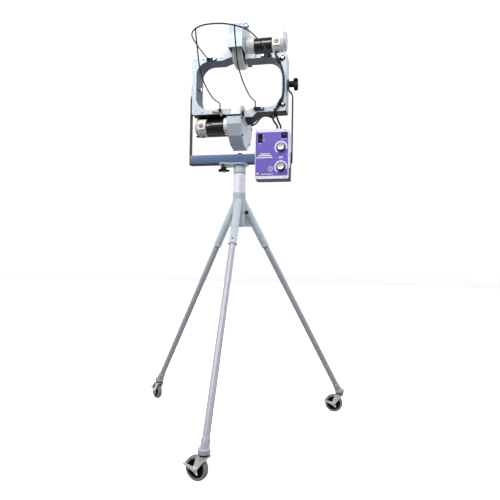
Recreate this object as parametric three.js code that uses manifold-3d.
import * as THREE from "three";
import Module from "manifold-3d";
import { mergeVertices } from "three/addons/utils/BufferGeometryUtils.js";

// Two-wheel ball throwing machine on a caster tripod. Millimetres, +Z up, balls leave towards +Y.
// It is laid out about the mast's axis, and moved at the end so that its box stands on the origin.

// Heights
const TILT_Z = 1810; // tilt axis
const BAR_Z = [1391, 1442]; // yoke's bottom bar
const SLEEVE_Z = [1056, 1232]; // tripod's centre sleeve
const PLATE_Z = [BAR_Z[0] - 6, BAR_Z[0] - 0.3]; // swivel plate
const HUB_Z = [PLATE_Z[0] - 44, PLATE_Z[0] - 0.3]; // mast's top hub
const MAST_FOOT_Z = 1064;
// Throwing wheels and their drives
const WHEEL_R = 112.5;
const WHEEL_W = 54;
const WHEEL_GAP = 204; // a little less than the ball
const WHEEL_Z = WHEEL_GAP / 2 + WHEEL_R; // from the tilt axis
const MOTOR_R = 41.5;
const MOTOR_X = [38.5, 80, 178, 226]; // where the bell, can, rear bell and end cover start
const FRONT_BELL_R = 45;
const REAR_BELL_R = 45.5;
const BELL_LIFT = 8; // the front bells sit this far above the motor's axis
const END_COVER = { upper: { r: 55.5, lift: 14, end: 252 }, lower: { r: 48, lift: 8, end: 242 } };
const BRUSH_X = MOTOR_X[2] + 24;
const MOTOR_GLAND_X = MOTOR_X[2] + 32;
const MOTOR_GLAND_R = MOTOR_R + 6; // reach of the cable gland from the axis
// Head frame
const FRAME_X = 257;
const FRAME_Z = 154;
const FRAME_Y = 42;
const FRAME_SPREAD = 4; // how far the sides draw out by the far side
const OPENING = { x: 233, top: 133, bottom: -127, r: 70 };
const FUNNEL = 12; // how far the opening closes in by the far side
const GUARD_X = 37;
const MOUTH_Z = { upper: 158, lower: 188 }; // near edge of each guard's mouth
const WALL = 3;
// Ball guide
const WIRE_R = 3;
const HOOP_X = 167;
const RAIL_X = 96;
const GUIDE_LEAN = 12; // how far the hoop's front stands to the left
// Yoke
const ARM_T = 6;
const ARM_W = 30;
const ARM_TOP_X = 261.3; // inner side beside the head
const ARM_LOW_X = { left: 268.6, right: 283.9 }; // inner side beside the bar
// Mast and tripod
const MAST_X = 6; // the mast stands a little to the right of the head's middle
const MAST_R = 31.7;
const SLEEVE_R = 34.6;
const SWIVEL_R = 90; // swivel lock from the mast's axis
const LEG_R = 16;
const SOCKET_R = 20;
const STEM = { r: 636, z: 116 }; // where a leg's axis meets its caster
const SOCKET_END = { r: 157, z: 953 };
const LEG_AZIMUTH = [-88.3, 31.7, 151.7];
const PLUNGER = { azimuth: -22, z: 1129 };
// Casters
const TYRE_R = 50;
const TYRE_W = 25;
const TRAIL = 32;
const FORK_Z = 101.2; // underside of the fork's deck
const RACE_Z = [104.9, 112.4];
const CUP_Z = [112.7, 134];
const CASTER_AZIMUTH = [165, 176, 137]; // where each wheel trails at rest
// Control box
const CASE_X = [108, 283];
const CASE_Y = [-103, -30];
const CASE_Z = [1290, 1546];
const PANEL_Z = [1308.5, 1529];
const DIAL_X = 242.5;
const DIAL_Z = [1449.5, 1350];
const FIT = 0.3; // gap between touching pieces

const wasm = await Module();
wasm.setup();
const V = (x, y, z) => new THREE.Vector3(x, y, z);
const rad = THREE.MathUtils.degToRad;

const paint = (color, metalness, roughness) =>
  new THREE.MeshStandardMaterial({ color, metalness, roughness });
const silver = paint(0xc3cad2, 0.4, 0.4);
const charcoal = paint(0x46505f, 0.3, 0.5);
const black = paint(0x15161a, 0.1, 0.6);
const cream = paint(0xe4e2d8, 0.2, 0.5);
const urethane = paint(0xeeeeea, 0, 0.6);
const zinc = paint(0xb8b8b4, 0.9, 0.35);
const purple = paint(0x5b48b4, 0, 0.5);
const alloy = paint(0xd0d2d8, 0.8, 0.35);
const grey = paint(0x7d7d7b, 0, 0.8);

function solid(geometry) {
  const bare = geometry.clone();
  bare.deleteAttribute("normal");
  bare.deleteAttribute("uv");
  const merged = mergeVertices(bare, 1e-3);
  const mesh = new wasm.Mesh({
    numProp: 3,
    vertProperties: new Float32Array(merged.attributes.position.array),
    triVerts: new Uint32Array(merged.index.array),
  });
  return new wasm.Manifold(mesh);
}

function geometryOf(made) {
  const mesh = made.getMesh();
  return new THREE.BufferGeometry()
    .setAttribute("position", new THREE.BufferAttribute(mesh.vertProperties, 3))
    .setIndex(new THREE.BufferAttribute(mesh.triVerts, 1))
    .toNonIndexed();
}

const join = (...all) => all.slice(1).reduce((sum, one) => sum.add(one), all[0]);
const cut = (from, ...all) => all.reduce((left, one) => left.subtract(one), from);

const block = ([x0, x1], [y0, y1], [z0, z1]) =>
  solid(
    new THREE.BoxGeometry(x1 - x0, y1 - y0, z1 - z0).translate(
      (x0 + x1) / 2,
      (y0 + y1) / 2,
      (z0 + z1) / 2,
    ),
  );

// A lathed profile of [radius, distance along the axis], from a point along a direction.
function turned(profile, from, towards, sides = 20) {
  const points = profile.map(([r, h]) => new THREE.Vector2(r, h));
  const quarter = new THREE.Quaternion().setFromUnitVectors(V(0, 1, 0), towards.clone().normalize());
  return solid(
    new THREE.LatheGeometry(points, sides)
      .applyQuaternion(quarter)
      .translate(from.x, from.y, from.z),
  );
}

const rod = (r, a, b, sides = 16) => {
  const h = a.distanceTo(b);
  return turned([[0, 0], [r, 0], [r, h], [0, h]], a, b.clone().sub(a), sides);
};

// A flat outline of [u, v] pushed along an axis: x takes (y, z), y takes (x, z), z takes (x, y).
function prism(outline, axis, from, to, curveSegments = 6) {
  const isShape = outline instanceof THREE.Shape;
  const shape = isShape ? outline : new THREE.Shape(outline.map(([u, v]) => new THREE.Vector2(u, v)));
  const made = new THREE.ExtrudeGeometry(shape, {
    depth: to - from,
    bevelEnabled: false,
    curveSegments,
  });
  const place = new THREE.Matrix4();
  if (axis === "x") place.makeBasis(V(0, 1, 0), V(0, 0, 1), V(1, 0, 0)).setPosition(from, 0, 0);
  if (axis === "y") place.makeBasis(V(1, 0, 0), V(0, 0, 1), V(0, -1, 0)).setPosition(0, to, 0);
  if (axis === "z") place.makeTranslation(0, 0, from);
  return solid(made.applyMatrix4(place));
}

function roundedShape(x0, x1, z0, z1, r) {
  const s = new THREE.Shape();
  s.moveTo(x0 + r, z0);
  s.lineTo(x1 - r, z0);
  s.absarc(x1 - r, z0 + r, r, -Math.PI / 2, 0);
  s.absarc(x1 - r, z1 - r, r, 0, Math.PI / 2);
  s.absarc(x0 + r, z1 - r, r, Math.PI / 2, Math.PI);
  s.absarc(x0 + r, z0 + r, r, Math.PI, Math.PI * 1.5);
  return s;
}

// A round bar along a smooth curve: a ring of vertices at each sample, carried without twisting.
function wire(r, points, perSpan, sides = 6) {
  const curve = new THREE.CatmullRomCurve3(points, false, "centripetal");
  const path = curve.getPoints((points.length - 1) * perSpan);
  const n = path.length;
  const heading = path.map((_, i) =>
    path[Math.min(i + 1, n - 1)].clone().sub(path[Math.max(i - 1, 0)]).normalize());
  const side = V(0, 0, 1).cross(heading[0]);
  if (side.length() < 0.1) side.set(1, 0, 0);
  const at = [];
  path.forEach((point, i) => {
    side.addScaledVector(heading[i], -side.dot(heading[i])).normalize();
    const other = heading[i].clone().cross(side);
    for (let k = 0; k < sides; k += 1) {
      const a = (2 * Math.PI * k) / sides;
      const across = point.clone().addScaledVector(side, r * Math.cos(a));
      at.push(across.addScaledVector(other, r * Math.sin(a)));
    }
  });
  const index = [];
  for (let i = 0; i + 1 < n; i += 1)
    for (let k = 0; k < sides; k += 1) {
      const a = i * sides + k;
      const b = i * sides + ((k + 1) % sides);
      index.push(a, b, b + sides, a, b + sides, a + sides);
    }
  for (let k = 1; k + 1 < sides; k += 1) {
    index.push(0, k + 1, k);
    index.push((n - 1) * sides, (n - 1) * sides + k, (n - 1) * sides + k + 1);
  }
  return solid(new THREE.BufferGeometry().setFromPoints(at).setIndex(index));
}

const group = new THREE.Group();
function add(name, made, material) {
  const mesh = new THREE.Mesh(geometryOf(made), material);
  mesh.name = name;
  group.add(mesh);
}
const up = (x, y, z) => V(x, y, TILT_Z + z); // a point given from the tilt axis

// The mast, the tripod and the casters are laid out about the mast's own axis.
const addToMast = (name, made, material) => add(name, made.translate([MAST_X, 0, 0]), material);

// Head frame: a left and a right casting, the left being the right one turned half round.
function arc(cx, cz, r, from, to, n) {
  return Array.from({ length: n + 1 }, (_, i) => {
    const a = rad(from + ((to - from) * i) / n);
    return [cx + r * Math.cos(a), cz + r * Math.sin(a)];
  });
}
// The gusset stands at the bottom of the right casting and at the top of the left one.
function frameOutline(far, turn) {
  const grow = far ? 8 : 0;
  const close = far ? FUNNEL : 0;
  const outer = FRAME_X + (far ? FRAME_SPREAD : 0);
  const toe = turn ? { x: 58, z: -192 } : { x: 80, z: -178 };
  if (far) Object.assign(toe, { x: 62, z: -196 });
  const x = OPENING.x - close;
  const top = turn ? -OPENING.bottom : OPENING.top;
  const bottom = turn ? -OPENING.top : OPENING.bottom;
  const r = OPENING.r;
  const inner = GUARD_X + FIT;
  return [
    [inner, 160],
    [62, 160],
    [92, FRAME_Z],
    ...arc(outer - 12, FRAME_Z - 12, 12, 90, 0, 3),
    ...arc(outer - 12, 12 - FRAME_Z, 12, 0, -90, 3),
    [104 + grow, -FRAME_Z],
    [toe.x, toe.z],
    [inner, toe.z],
    [inner, bottom - 15],
    [46, bottom - 15],
    [88, bottom],
    ...arc(x - r, bottom + r, r, -90, 0, 6),
    ...arc(x - r, top - r, r, 0, 90, 6),
    [inner, top],
  ].reverse();
}
function frameHalf(turn) {
  const near = frameOutline(false, turn);
  const far = frameOutline(true, turn);
  const faces = THREE.ShapeUtils.triangulateShape(near.map(([u, v]) => new THREE.Vector2(u, v)), []);
  const n = near.length;
  const at = [...near.map(([u, v]) => [u, -FRAME_Y, v]), ...far.map(([u, v]) => [u, FRAME_Y, v])];
  const index = [];
  for (const [a, b, c] of faces) index.push(a, b, c, c + n, b + n, a + n);
  for (let i = 0; i < n; i += 1) {
    const j = (i + 1) % n;
    index.push(j, i, i + n, j, i + n, j + n);
  }
  const made = new THREE.BufferGeometry()
    .setAttribute("position", new THREE.Float32BufferAttribute(at.flat(), 3))
    .setIndex(index);
  // Turned half round about Y, and so the same way out as the right one.
  if (turn) made.rotateY(Math.PI);
  return solid(made.translate(0, 0, TILT_Z));
}
const pivotHole = (side) => rod(6.4, up(side * 200, 0, 0), up(side * 300, 0, 0));
add("frame_right", cut(frameHalf(false), pivotHole(1)), silver);
add("frame_left", cut(frameHalf(true), pivotHole(-1)), silver);

// Wheel guards: folded covers, open towards the ball.
const COVER = [
  [-130, 236], [-100, 290], [-48, 326], [36, 338], [96, 304], [160, 240], [170, 196], [160, 170],
];
function guard(sign) {
  const mouth = sign > 0 ? MOUTH_Z.upper : MOUTH_Z.lower;
  const outline = [[-130, mouth], ...COVER].map(([y, z]) => [y, sign * z]);
  const mid = sign * WHEEL_Z;
  const shrink = outline.map(([y, z]) => {
    const d = Math.hypot(y - 12, z - mid);
    return [y - ((y - 12) * (WALL + 0.3)) / d, z - ((z - mid) * (WALL + 0.3)) / d];
  });
  shrink[0] = [WALL - 130, sign * 150];
  shrink[1] = [WALL - 130, sign * 235];
  shrink[shrink.length - 1] = [157, sign * 150];
  const lift = (list) => list.map(([y, z]) => [y, z + TILT_Z]);
  const outer = prism(lift(outline), "x", -GUARD_X, GUARD_X);
  const inner = prism(lift(shrink), "x", WALL - GUARD_X, GUARD_X - WALL);
  const root = sign * (mouth + 6);
  const cheekSide = lift([[-36, sign * 130], [36, sign * 130], [48, root], [-48, root]]);
  const cheek = (side) =>
    side > 0
      ? prism(cheekSide, "x", GUARD_X - WALL, GUARD_X)
      : prism(cheekSide, "x", -GUARD_X, WALL - GUARD_X);
  const bore = rod(14, up(0, 0, mid), up(sign * 60, 0, mid));
  return cut(join(cut(outer, inner), cheek(1), cheek(-1)), bore);
}
add("upper_guard", guard(1), silver);
add("lower_guard", guard(-1), silver);

// Throwing wheels and motors: the upper motor sits on the right, the lower one on the left.
for (const [name, sign] of [["upper", 1], ["lower", -1]]) {
  const z = sign * WHEEL_Z;
  const w = WHEEL_W / 2;
  const out = V(sign, 0, 0);
  const start = up(0, 0, z);
  const tyre = [
    [86, -w], [WHEEL_R - 6, -w], [WHEEL_R, 6 - w], [WHEEL_R, w - 6], [WHEEL_R - 6, w], [86, w], [86, -w],
  ];
  add(name + "_wheel_tyre", turned(tyre, start, out, 40), urethane);
  const hub = [
    [0, -20], [24, -20], [24, -10], [72, -10], [72, -24], [85.7, -24], [85.7, 24], [72, 24],
    [72, 10], [24, 10], [24, 22], [9, 22], [9, 60], [0, 60],
  ];
  add(name + "_wheel_hub", turned(hub, start, out, 24), black);
  const [a, b, c, d] = MOTOR_X;
  const r = MOTOR_R;
  const raised = up(0, 0, z + BELL_LIFT);
  const bell = turned([[0, a], [FRONT_BELL_R, a], [FRONT_BELL_R, b - 12], [r, b - FIT], [0, b - FIT]],
    raised, out, 28);
  const shaftBore = rod(9.6, up(0, 0, z), up(sign * 100, 0, z), 24);
  add(name + "_motor_front_bell", cut(bell, shaftBore), cream);
  add(name + "_motor_can", turned([[0, b], [r, b], [r, c - FIT], [0, c - FIT]], start, out, 28), black);
  const rear = turned([[0, c], [REAR_BELL_R, c], [REAR_BELL_R, d - 8], [r - 2, d - FIT], [0, d - FIT]],
    start, out, 28);
  // brush holders on the near and far sides
  const brush = (side) => join(
    block(
      [sign * BRUSH_X - 18, sign * BRUSH_X + 18],
      side > 0 ? [0, r + 6] : [-r - 6, 0],
      [TILT_Z + z - 20, TILT_Z + z + 20],
    ),
    rod(12, up(sign * BRUSH_X, 0, z), up(sign * BRUSH_X, side * (r + 8), z), 16),
  );
  const gland = rod(6, up(sign * MOTOR_GLAND_X, 0, z - sign * (r - 4)),
    up(sign * MOTOR_GLAND_X, 0, z - sign * MOTOR_GLAND_R), 12);
  const rearBell = join(rear, brush(1), brush(-1), gland);
  add(name + "_motor_rear_bell", rearBell, cream);
  const { r: rim, lift, end } = END_COVER[name];
  const lip = Math.min(14, end - d - 5); // the thick rim ends this far out
  const cover = [
    [0, d],
    [rim - 4, d],
    [rim, d + 4],
    [rim, d + lip],
    [rim - 8.5, d + lip + 1],
    [rim - 8.5, end - 2],
    [rim - 12.5, end],
    [0, end],
  ];
  add(name + "_motor_end_cover", turned(cover, up(0, 0, z + lift), out, 28), cream);
}

// Ball guide: a hoop on the frame's top and two rails from its foot, one welded piece.
const face = -FRAME_Y - FIT;
const hoopSide = [
  [HOOP_X, face - 0.3, 141.5], [HOOP_X, -62, 141.5], [166, -110, 137], [153, -275, 116], [130, -400, 102],
  [90, -462, 94], [40, -494, 90],
];
const leaning = (x, y, z) => up(x - (GUIDE_LEAN * Math.max(0, -190 - y)) / 270, y, z);
const hoopPoints = [
  ...hoopSide.map(([x, y, z]) => leaning(-x, y, z)),
  leaning(0, -500, 89),
  ...hoopSide.map(([x, y, z]) => leaning(x, y, z)).reverse(),
];
const railSide = [
  [RAIL_X, -50, -143], [RAIL_X, -50, -116], [RAIL_X, -56, -103], [RAIL_X, -85, -106], [95, -191, -121],
  [93, -327, -97], [90, -402, -49], [89, -432, 12], [89, -452, 60], [89, -462.5, 94],
];
const rail = (side) => wire(WIRE_R, railSide.map(([x, y, z]) => leaning(side * x, y, z)), 3);
add("ball_guide", join(wire(WIRE_R, hoopPoints, 3), rail(1), rail(-1)), black);

// Guide clips: each grips a wire end and is bolted to the frame's near face.
function clip(side, wireX, boltX, z, alongY) {
  const x = side > 0 ? [Math.min(wireX, boltX) - 10, Math.max(wireX, boltX) + 10] : null;
  const span = x ?? [-Math.max(wireX, boltX) - 10, 10 - Math.min(wireX, boltX)];
  const body = block(span, [face - 13, face], [TILT_Z + z - 8, TILT_Z + z + 8]);
  const bolt = rod(6, up(side * boltX, face - 12, z), up(side * boltX, face - 17, z), 12);
  const hole = alongY
    ? rod(WIRE_R + 0.5, up(side * wireX, face - 30, z), up(side * wireX, face + 5, z), 12)
    : rod(WIRE_R + 0.6, up(side * wireX, -50, z - 30), up(side * wireX, -50, z + 30), 12);
  return cut(join(body, bolt), hole);
}
add("guide_clip_top_left", clip(-1, HOOP_X, 131, 141.5, true), black);
add("guide_clip_top_right", clip(1, HOOP_X, 131, 141.5, true), black);
add("guide_clip_low_left", clip(-1, RAIL_X, 132, -137, false), black);
add("guide_clip_low_right", clip(1, RAIL_X, 132, -137, false), black);

// Tilt pivots: a bolt on the left, the locking knob's screw on the right.
const nutX = ARM_TOP_X + ARM_T + FIT;
const pivotBolt = [
  [0, 216], [11, 216], [11, 225], [6, 225], [6, nutX], [11, nutX], [11, nutX + 4], [0, nutX + 4],
];
add("tilt_pivot_bolt", turned(pivotBolt, up(0, 0, 0), V(-1, 0, 0), 16), zinc);

// A five-lobed hand knob, from a point along a direction. Screw, boss and disc are [from, to, radius].
function starKnob(from, towards, screw, boss, disc, phase = 0) {
  const round = ([h0, h1, r]) => turned([[0, h0], [r, h0], [r, h1], [0, h1]], V(0, 0, 0), V(0, 0, 1), 20);
  const outline = Array.from({ length: 40 }, (_, i) => {
    const a = (2 * Math.PI * i) / 40;
    const r = disc[2] * (0.86 + 0.14 * Math.cos(5 * a + phase));
    return [r * Math.cos(a), r * Math.sin(a)];
  });
  const turn = new THREE.Quaternion().setFromUnitVectors(V(0, 0, 1), towards.clone().normalize());
  const whole = join(round(screw), round(boss), prism(outline, "z", disc[0], disc[1]));
  return solid(geometryOf(whole).applyQuaternion(turn).translate(from.x, from.y, from.z));
}
const tiltKnob = starKnob(up(0, 0, 0), V(1, 0, 0), [236, nutX + 2, 6], [nutX, 294, 17], [292, 314, 34]);
add("tilt_knob", tiltKnob, black);

// Yoke: a box-section bar with a bent flat arm at each end.
const bar = cut(
  block([FIT - ARM_LOW_X.left, ARM_LOW_X.right - FIT], [-25, 25], BAR_Z),
  block([-285, 285], [-22, 22], [BAR_Z[0] + 3, BAR_Z[1] - 3]),
  rod(8.5, V(MAST_X, 0, BAR_Z[0] - 10), V(MAST_X, 0, BAR_Z[1] + 10), 20),
  rod(5.5, V(MAST_X - SWIVEL_R, 0, BAR_Z[0] - 10), V(MAST_X - SWIVEL_R, 0, BAR_Z[0] + 10), 16),
);
add("yoke_bar", bar, charcoal);
function arm(side) {
  const t = ARM_T;
  const low = side > 0 ? ARM_LOW_X.right : ARM_LOW_X.left;
  const outline = [
    [low, BAR_Z[0]],
    [low, TILT_Z - 58],
    [ARM_TOP_X, TILT_Z - 34],
    [ARM_TOP_X, TILT_Z + 22],
    [ARM_TOP_X + t, TILT_Z + 22],
    [ARM_TOP_X + t, TILT_Z - 32],
    [low + t, TILT_Z - 56],
    [low + t, BAR_Z[0]],
  ].map(([x, z]) => [side * x, z]);
  const made = prism(side > 0 ? outline.slice().reverse() : outline, "y", -ARM_W / 2, ARM_W / 2);
  return cut(made, pivotHole(side));
}
add("yoke_arm_right", arm(1), charcoal);
add("yoke_arm_left", arm(-1), charcoal);

// Control box on the bar's near side
const bracket = join(
  block([112, 287.5], [-100, -25.3], [CASE_Z[0] - 3.3, CASE_Z[0] - FIT]),
  block([CASE_X[1] + FIT, 287.5], [-100, -25.3], [CASE_Z[0] - 3.3, CASE_Z[0] + 55]),
  block([112, 287.5], [-29.7, -25.3], [CASE_Z[0] - 3.3, BAR_Z[1] - 2]),
);
add("control_bracket", bracket, black);
const CASE_GLAND = { y: -62, upperX: 216, lowerX: 233, rise: 9 };
const caseBody = join(
  prism(roundedShape(CASE_X[0], CASE_X[1], CASE_Z[0], CASE_Z[1], 7), "y", CASE_Y[0], CASE_Y[1], 3),
  ...[CASE_GLAND.upperX, CASE_GLAND.lowerX].map((x) =>
    rod(7, V(x, CASE_GLAND.y, CASE_Z[1] - 4), V(x, CASE_GLAND.y, CASE_Z[1] + CASE_GLAND.rise), 14)),
);
add("control_case", caseBody, alloy);
const front = CASE_Y[0] - FIT;
const panel = prism(roundedShape(112, 277.6, PANEL_Z[0], PANEL_Z[1], 5), "y", front - 2.5, front, 3);
add("control_panel", panel, purple);
const panelFace = front - 2.5 - FIT;
const inlet = cut(
  block([244, 273], [panelFace - 6, panelFace], [1498, 1524]),
  block([249, 268], [panelFace - 8, panelFace - 2], [1503, 1519]),
);
add("power_inlet", inlet, black);
const rockerFrame = cut(
  block([124, 146], [panelFace - 3, panelFace], [1478, 1521]),
  block([127, 143], [panelFace - 4, panelFace - 1], [1481.5, 1517.5]),
);
add("rocker_frame", rockerFrame, black);
// The rocker rests tipped by half of its travel about a pivot behind its middle.
const ROCK = rad(7);
const rockerSide = [[0, 0], [-2.2, 16], [-6.5, 16], [-3.4, 0], [-6.5, -16], [-2.2, -16]];
const rocker = rockerSide.map(([y, z]) => [
  panelFace - 1.3 + y * Math.cos(ROCK) - z * Math.sin(ROCK),
  1499.5 + y * Math.sin(ROCK) + z * Math.cos(ROCK),
]);
add("power_rocker", prism(rocker.slice().reverse(), "x", 127.6, 142.4), black);
for (const [name, z] of [["upper", DIAL_Z[0]], ["lower", DIAL_Z[1]]]) {
  const knob = turned([[0, 0], [20, 0], [19, 14], [16, 14], [16, 19], [14.5, 20.5], [0, 20.5]],
    V(DIAL_X, panelFace, z), V(0, -1, 0), 32);
  const mark = block(
    [DIAL_X - 1.2, DIAL_X + 1.2],
    [panelFace - 15.5, panelFace - 12],
    [z + 12, z + 19],
  );
  add(name + "_speed_dial", join(knob, mark), black);
}

// Mast: tube with hub, swivel plate with an arc slot, king bolt, swivel lock
const ORIGIN = V(0, 0, 0);
const UP = V(0, 0, 1);
const mast = [
  [26, MAST_FOOT_Z],
  [MAST_R, MAST_FOOT_Z],
  [MAST_R, HUB_Z[0]],
  [MAST_R + 1.5, HUB_Z[0]],
  [MAST_R + 1.5, HUB_Z[1]],
  [8.4, HUB_Z[1]],
  [8.4, HUB_Z[1] - 12],
  [26, HUB_Z[1] - 12],
  [26, MAST_FOOT_Z],
];
addToMast("mast_tube", turned(mast, ORIGIN, UP, 24), silver);
const plateEdge = [...arc(0, 0, 50, -120, 120, 10), ...arc(0, 0, SWIVEL_R + 22, 145, 215, 8)];
const slotEdge = [...arc(0, 0, SWIVEL_R + 6.4, 150, 210, 10), ...arc(0, 0, SWIVEL_R - 6.4, 210, 150, 10)];
const swivelPlate = cut(
  prism(plateEdge, "z", PLATE_Z[0], PLATE_Z[1]),
  prism(slotEdge, "z", PLATE_Z[0] - 5, PLATE_Z[1] + 5),
  rod(8.4, V(0, 0, PLATE_Z[0] - 5), V(0, 0, PLATE_Z[1] + 5), 20),
);
addToMast("swivel_plate", swivelPlate, silver);
const kingHead = HUB_Z[1] - 12 - FIT;
const king = [
  [0, kingHead - 4],
  [13, kingHead - 4],
  [13, kingHead],
  [8, kingHead],
  [8, BAR_Z[1] + FIT],
  [15, BAR_Z[1] + FIT],
  [15, BAR_Z[1] + 8],
  [0, BAR_Z[1] + 8],
];
addToMast("king_bolt", turned(king, ORIGIN, UP, 12), black);
const swivelKnob = starKnob(V(-SWIVEL_R, 0, PLATE_Z[0]), V(0, 0, -1),
  [-13, 6, 5], [4, 22, 15], [20, 31, 34], Math.PI * 1.5);
addToMast("swivel_knob", swivelKnob, black);

// Tripod head: sleeve, slanted sockets and gussets, one weldment
const towards = (azimuth) => V(Math.cos(rad(azimuth)), Math.sin(rad(azimuth)), 0);
const legSlope = (STEM.r - SOCKET_END.r) / (SOCKET_END.z - STEM.z);
const onLeg = (i, z) =>
  towards(LEG_AZIMUTH[i]).multiplyScalar(STEM.r - legSlope * (z - STEM.z)).setZ(z);
const boreR = MAST_R + 0.8;
const sleeve = turned([
  [boreR, SLEEVE_Z[0]],
  [SLEEVE_R, SLEEVE_Z[0]],
  [SLEEVE_R, SLEEVE_Z[1] - 8],
  [SLEEVE_R + 0.6, SLEEVE_Z[1] - 8],
  [SLEEVE_R + 0.6, SLEEVE_Z[1]],
  [boreR, SLEEVE_Z[1]],
  [boreR, SLEEVE_Z[0]],
], ORIGIN, UP, 24);
const onPlunger = (r) => towards(PLUNGER.azimuth).multiplyScalar(r).setZ(PLUNGER.z);
const sockets = [0, 1, 2].map((i) => rod(SOCKET_R, onLeg(i, 1191), onLeg(i, SOCKET_END.z), 18));
const webSide = [[46, 1150], [92, SLEEVE_Z[0]], [33, SLEEVE_Z[0]], [33, 1172]];
const webs = LEG_AZIMUTH.map((azimuth) => prism(webSide, "y", -2.5, 2.5).rotate([0, 0, azimuth]));
const tripodHub = cut(
  join(sleeve, rod(9, onPlunger(33), onPlunger(42), 16), ...sockets, ...webs),
  rod(boreR, V(0, 0, 1000), V(0, 0, 1300), 24),
  ...[0, 1, 2].map((i) => rod(LEG_R + 0.7, onLeg(i, 1075), onLeg(i, 940), 18)),
  rod(5.4, onPlunger(20), onPlunger(60), 14),
);
addToMast("tripod_hub", tripodHub, silver);
const tip = MAST_R + FIT;
const plunger = [[0, tip], [5, tip], [5, 42.6], [8, 42.6], [9.5, 46], [9.5, 56], [7, 58], [0, 58]];
addToMast("height_plunger", turned(plunger, onPlunger(0), towards(PLUNGER.azimuth), 16), black);

// Legs and casters
const LEG_NAME = ["front", "right", "left"];
for (let i = 0; i < 3; i += 1) {
  const name = LEG_NAME[i];
  const stem = onLeg(i, STEM.z).setZ(0);
  const tube = rod(LEG_R, onLeg(i, 118), onLeg(i, 1070), 18);
  const collar = rod(LEG_R + 3, onLeg(i, 122), onLeg(i, 165), 18);
  const below = block([-900, 900], [-900, 900], [0, CUP_Z[0]]);
  const cupSide = [[0, CUP_Z[0]], [26, CUP_Z[0]], [26, CUP_Z[1] - 3], [23, CUP_Z[1]], [0, CUP_Z[1]]];
  addToMast("leg_" + name, join(cut(join(tube, collar), below), turned(cupSide, stem, UP, 24)), silver);
  const race = [[0, RACE_Z[0]], [21, RACE_Z[0]], [23, RACE_Z[0] + 2], [23, RACE_Z[1]], [0, RACE_Z[1]]];
  addToMast("caster_race_" + name, turned(race, stem, UP, 24), black);

  // The caster is laid out trailing along +X, its axle along Y, then turned to its rest azimuth.
  const place = (made) => made.rotate([0, 0, CASTER_AZIMUTH[i]]).translate([stem.x, stem.y, 0]);
  const w = TYRE_W / 2;
  const top = RACE_Z[0] - 0.4;
  const fin = [
    [-24, top], [-22, 98], [-6, 84], [TRAIL - 9, 46], [TRAIL, 41], [TRAIL + 9, 46], [38, 62], [24, top],
  ];
  const side = (y0) => prism(fin, "y", y0, y0 + 2.5);
  const crown = turned([[0, FORK_Z], [22, FORK_Z], [24, top - 1], [24, top + 0.1], [0, top + 0.1]],
    ORIGIN, UP, 24);
  const deck = block([-20, 22], [-w - 4.5, w + 4.5], [FORK_Z, top]);
  const axle = rod(5, V(TRAIL, -24, TYRE_R), V(TRAIL, 24, TYRE_R), 14);
  addToMast("caster_fork_" + name, place(join(crown, deck, side(w + 2), side(-w - 4.5), axle)), zinc);
  const wheelSide = [
    [5.6, 1 - w], [16, 1 - w], [16, 4 - w], [36, 4 - w], [38, -w], [TYRE_R - 4, -w], [TYRE_R, 5 - w],
    [TYRE_R, w - 5], [TYRE_R - 4, w], [38, w], [36, w - 4], [16, w - 4], [16, w - 1], [5.6, w - 1],
    [5.6, 1 - w],
  ];
  addToMast("caster_wheel_" + name, place(turned(wheelSide, V(TRAIL, 0, TYRE_R), V(0, 1, 0), 20)), grey);
  const strapSide = [
    [TRAIL - 16, 31],
    [TRAIL - 11, 27],
    [TRAIL + 7, 41],
    [TRAIL + 55, 61],
    [TRAIL + 55, 67],
    [TRAIL + 6, 60],
    [TRAIL - 8, 57],
  ];
  const strap = (y0) => prism(strapSide, "y", y0, y0 + 2.2);
  const pedal = block([TRAIL + 50, TRAIL + 55], [-w - 7, w + 7], [62, 67]);
  const axleHole = rod(5.5, V(TRAIL, -40, TYRE_R), V(TRAIL, 40, TYRE_R), 14);
  const brake = cut(join(strap(w + 4.9), strap(-w - 7.1), pedal), axleHole);
  addToMast("caster_brake_" + name, place(brake), zinc);
}

// Motor cables: each runs whole from its motor's gland to the control box.
const CABLE_R = 5;
const CABLE_Y = -51.5; // in front of the right casting
const CASE_GLAND_Z = CASE_Z[1] + CASE_GLAND.rise + FIT;
const glandZ = WHEEL_Z - MOTOR_GLAND_R - FIT;
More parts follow.
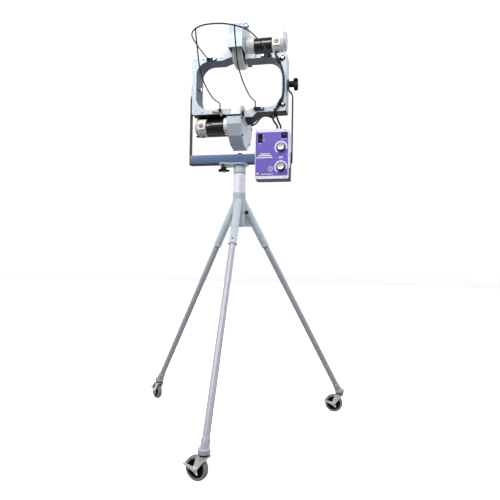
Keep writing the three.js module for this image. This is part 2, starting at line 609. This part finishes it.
// Where the clips hold the upper cable, and which way it runs through them
const GRIP = {
  upper: { x: 214, z: 111, way: V(0.447, 0, -0.894), plate: [236, 124] },
  lower: { x: 226, z: -110, way: V(-0.474, 0, -0.88), plate: [240, -120] },
};
const GRIP_HALF = 17.5;
const inGrip = ({ x, z, way }) =>
  [-GRIP_HALF, 0, GRIP_HALF].map((h) => up(x, CABLE_Y, z).addScaledVector(way, h));
const upperRun = [
  up(MOTOR_GLAND_X, 0, glandZ - 0.2),
  up(MOTOR_GLAND_X, 0, glandZ - 4),
  up(MOTOR_GLAND_X + 1, -6, 160.8),
  up(208, -24, 160.2),
  up(203, -43, 160.2),
  up(200, CABLE_Y, 151),
  up(202, CABLE_Y, 139),
  ...inGrip(GRIP.upper),
  up(230, CABLE_Y, 77),
  up(237, CABLE_Y, 55),
  up(243, CABLE_Y, 20),
  up(244, CABLE_Y, -15),
  up(244, CABLE_Y, -50),
  up(240, CABLE_Y, -76),
  ...inGrip(GRIP.lower),
  up(209, CABLE_Y, -138),
  up(196, CABLE_Y, -160),
  up(189, -53, -176),
  up(190, -56, -194),
  up(200, -59, -216),
  V(213, -61.5, CASE_GLAND_Z + 20),
  V(CASE_GLAND.upperX, CASE_GLAND.y, CASE_GLAND_Z + 10),
  V(CASE_GLAND.upperX, CASE_GLAND.y, CASE_GLAND_Z),
];
add("upper_motor_cable", wire(CABLE_R, upperRun, 3), black);
const lowerRun = [
  up(-MOTOR_GLAND_X, 0, 0.2 - glandZ),
  up(-MOTOR_GLAND_X, 0, 4 - glandZ),
  up(-207, 6, -161.2),
  up(-195, 20, -160.4),
  up(-150, 60, -163),
  up(-85, 140, -166),
  up(-50, 176, -166),
  up(0, 184, -164),
  up(50, 176, -152),
  up(90, 110, -144),
  up(120, 62, -144),
  up(150, 53, -148),
  up(176, 46, -160.5),
  up(196, 14, -161),
  up(205, -22, -166),
  up(210, -42, -184),
  up(221, -56, -214),
  V(CASE_GLAND.lowerX, CASE_GLAND.y, CASE_GLAND_Z + 14),
  V(CASE_GLAND.lowerX, CASE_GLAND.y, CASE_GLAND_Z),
];
add("lower_motor_cable", wire(CABLE_R, lowerRun, 3), black);

// Cable clips on the right casting's near face: a sleeve on a diamond plate with one bolt.
for (const [name, { x, z, way, plate }] of Object.entries(GRIP)) {
  const wall = [
    [6.2, -GRIP_HALF], [9, -GRIP_HALF], [9, GRIP_HALF], [6.2, GRIP_HALF], [6.2, -GRIP_HALF],
  ];
  const sleeveRing = turned(wall, up(x, CABLE_Y, z), way, 16);
  const [px, pz] = plate;
  const diamond = [[px - 16.5, pz], [px, pz - 16.5], [px + 16.5, pz], [px, pz + 16.5]];
  const tab = prism(diamond.map(([u, v]) => [u, TILT_Z + v]), "y", face - 3, face);
  const link = block([x, px], [face - 3, face], [TILT_Z + Math.min(z, pz), TILT_Z + Math.max(z, pz)]);
  const bolt = rod(7, up(px, face - 2, pz), up(px, face - 8, pz), 12);
  add("cable_clip_" + name, join(sleeveRing, link, tab, bolt), black);
}

group.updateMatrixWorld(true);
const box = new THREE.Box3().setFromObject(group);
const shift = V(-(box.min.x + box.max.x) / 2, -(box.min.y + box.max.y) / 2, -box.min.z);
for (const mesh of group.children) mesh.geometry.translate(shift.x, shift.y, shift.z);

export default group;
